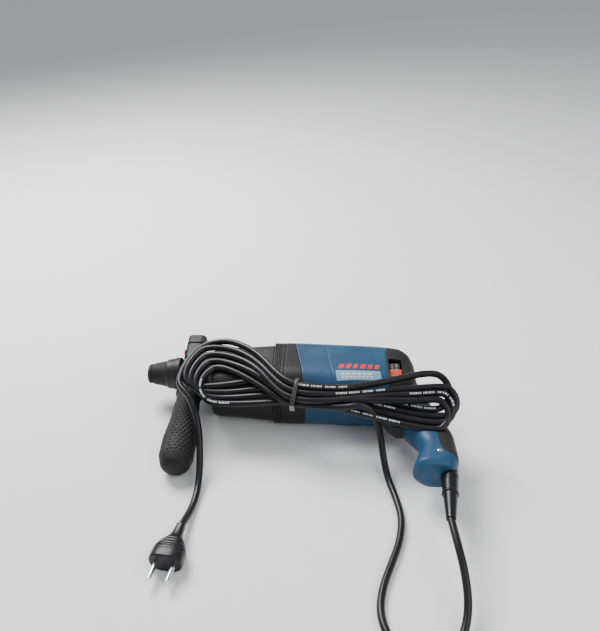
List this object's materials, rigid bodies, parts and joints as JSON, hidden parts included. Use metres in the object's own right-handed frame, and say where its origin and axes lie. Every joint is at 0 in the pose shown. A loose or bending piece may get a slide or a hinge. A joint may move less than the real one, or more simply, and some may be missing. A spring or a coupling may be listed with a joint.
{
  "type": "rotary hammer",
  "caption": "Corded pistol-grip rotary hammer with quick bit chuck, clamp-on side handle, mode knob, trigger, direction lever and a mains cord tied in a hank.",
  "frame": {"origin": "mouth of the tool holder's bore on the spindle axis", "axes": "+X from the chuck towards the rear, +Y towards the tool's top, +Z towards its left side, which is up as it lies"},
  "size_m": [0.389, 0.4292, 0.0989],
  "materials": {
    "black_housing": "fine moulded texture",
    "blue_housing": "satin moulded",
    "soft_grip": "soft moulded rubber",
    "sleeve_plastic": "satin",
    "grey_cap": "fine texture",
    "orange_plastic": "satin",
    "hardened_steel": "ground",
    "bright_steel": "bright",
    "aluminium": "cast",
    "laminated_steel": "stacked sheets",
    "copper": "varnished copper",
    "bronze": "sintered",
    "carbon": "pressed carbon",
    "fan_plastic": "moulded",
    "seal_rubber": "smooth",
    "cord_rubber": "smooth, slightly glossy",
    "tie_plastic": "satin strap"
  },
  "bodies": {
    "housing": {"gear_housing": "black_housing", "joint_collar": "black_housing", "motor_housing": "blue_housing", "handle_shell_left": "blue_housing", "handle_shell_right": "blue_housing", "rear_soft_cover": "soft_grip", "inner_flange": "aluminium", "front_seal": "seal_rubber", "front_bearing": "bright_steel", "tube_bush": "bronze", "intermediate_bearings": "bright_steel", "motor_bearings": "bright_steel", "stator_core": "laminated_steel", "field_coils": "copper", "switch_module": "fan_plastic", "cable_clamp": "fan_plastic", "strain_relief": "cord_rubber", "housing_screws": "bright_steel", "shell_screws": "bright_steel", "cord_lead": "cord_rubber", "cord_hank": "cord_rubber", "cord_plug_end": "cord_rubber", "cord_tie": "tie_plastic", "plug_body": "cord_rubber", "plug_pins": "bright_steel"},
    "spindle": {"tool_holder": "hardened_steel", "hammer_tube": "hardened_steel", "dust_cap": "soft_grip", "locking_balls": "bright_steel", "sleeve_spring": "bright_steel", "sleeve_stop_ring": "hardened_steel", "spindle_gear": "hardened_steel"},
    "sleeve": {"locking_sleeve": "sleeve_plastic"},
    "intermediate": {"intermediate_shaft": "hardened_steel", "wobble_drum": "hardened_steel", "drive_pinion": "hardened_steel", "driven_gear": "hardened_steel"},
    "armature": {"armature_shaft": "hardened_steel", "armature_core": "laminated_steel", "armature_windings": "copper", "commutator": "copper", "fan": "fan_plastic"},
    "wobble": {"wobble_ring": "hardened_steel"},
    "piston": {"piston": "aluminium", "piston_pin": "bright_steel"},
    "striker": {"striker": "hardened_steel", "striker_ring": "seal_rubber"},
    "beat_piece": {"beat_piece": "hardened_steel"},
    "mode_knob": {"mode_knob": "black_housing"},
    "mode_button": {"mode_button": "orange_plastic"},
    "trigger": {"trigger": "black_housing"},
    "lock_button": {"lock_button": "black_housing"},
    "brush_plate": {"brush_plate": "fan_plastic", "direction_levers": "orange_plastic", "brushes": "carbon"},
    "side_handle": {"clamp_band": "bright_steel", "handle_holder": "black_housing", "clamp_bolt": "bright_steel"},
    "side_grip": {"side_grip": "soft_grip"},
    "depth_button": {"depth_button": "grey_cap"}
  },
  "joints": [
    {"name": "armature_spin", "type": "hinge", "parent": "housing", "child": "armature", "pos_m": [0.23, -0.01812, 0], "axis": [1, 0, 0], "continuous": true},
    {"name": "intermediate_spin", "type": "hinge", "parent": "housing", "child": "intermediate", "pos_m": [0.12, -0.03812, 0], "axis": [1, 0, 0], "continuous": true},
    {"name": "spindle_spin", "type": "hinge", "parent": "housing", "child": "spindle", "pos_m": [0.05, 0, 0], "axis": [1, 0, 0], "continuous": true},
    {"name": "sleeve_slide", "type": "slide", "parent": "spindle", "child": "sleeve", "axis": [1, 0, 0], "range_m": [0, 0.006], "stiffness_N_per_m": 1200, "springref_m": -0.004},
    {"name": "piston_slide", "type": "slide", "parent": "housing", "child": "piston", "axis": [1, 0, 0], "range_m": [-0.0065, 0.0065]},
    {"name": "wobble_swing", "type": "hinge", "parent": "housing", "child": "wobble", "pos_m": [0.133, -0.03812, 0], "axis": [0, 0, 1], "range_deg": [-10, 10]},
    {"name": "striker_slide", "type": "slide", "parent": "housing", "child": "striker", "axis": [1, 0, 0], "range_m": [-0.006, 0.001]},
    {"name": "beat_piece_slide", "type": "slide", "parent": "housing", "child": "beat_piece", "axis": [1, 0, 0], "range_m": [-0.002, 0.002]},
    {"name": "mode_turn", "type": "hinge", "parent": "housing", "child": "mode_knob", "pos_m": [0.134, -0.018, 0.038], "axis": [0, 0, 1], "range_deg": [-60, 60]},
    {"name": "mode_button_press", "type": "slide", "parent": "mode_knob", "child": "mode_button", "axis": [0, 0, -1], "range_m": [0, 0.001], "stiffness_N_per_m": 800, "springref_m": -0.001},
    {"name": "trigger_pull", "type": "slide", "parent": "housing", "child": "trigger", "axis": [1, 0, 0], "range_m": [0, 0.006], "stiffness_N_per_m": 900, "springref_m": -0.003},
    {"name": "lock_press", "type": "slide", "parent": "housing", "child": "lock_button", "axis": [0, 0, -1], "range_m": [0, 0.002], "stiffness_N_per_m": 900, "springref_m": -0.002},
    {"name": "direction_turn", "type": "hinge", "parent": "housing", "child": "brush_plate", "pos_m": [0.3, -0.01812, 0], "axis": [-1, 0, 0], "range_deg": [0, 22]},
    {"name": "handle_swivel", "type": "hinge", "parent": "housing", "child": "side_handle", "pos_m": [0.057, 0, 0], "axis": [1, 0, 0], "range_deg": [0, 50]},
    {"name": "grip_twist", "type": "hinge", "parent": "side_handle", "child": "side_grip", "pos_m": [0.057, 0, 0], "axis": [0, -0.9877, -0.1564], "range_deg": [0, 90]},
    {"name": "depth_button_press", "type": "slide", "parent": "side_handle", "child": "depth_button", "axis": [0, -0.9877, -0.1564], "range_m": [0, 0.0025], "stiffness_N_per_m": 900, "springref_m": -0.002}
  ],
  "couplings": [
    {"joint": "intermediate_spin", "follows": "armature_spin", "ratio": -0.21212},
    {"joint": "spindle_spin", "follows": "armature_spin", "ratio": 0.15758},
    {"joint": "wobble_swing", "follows": "piston_slide", "rad_per_m": -26.23}
  ]
}
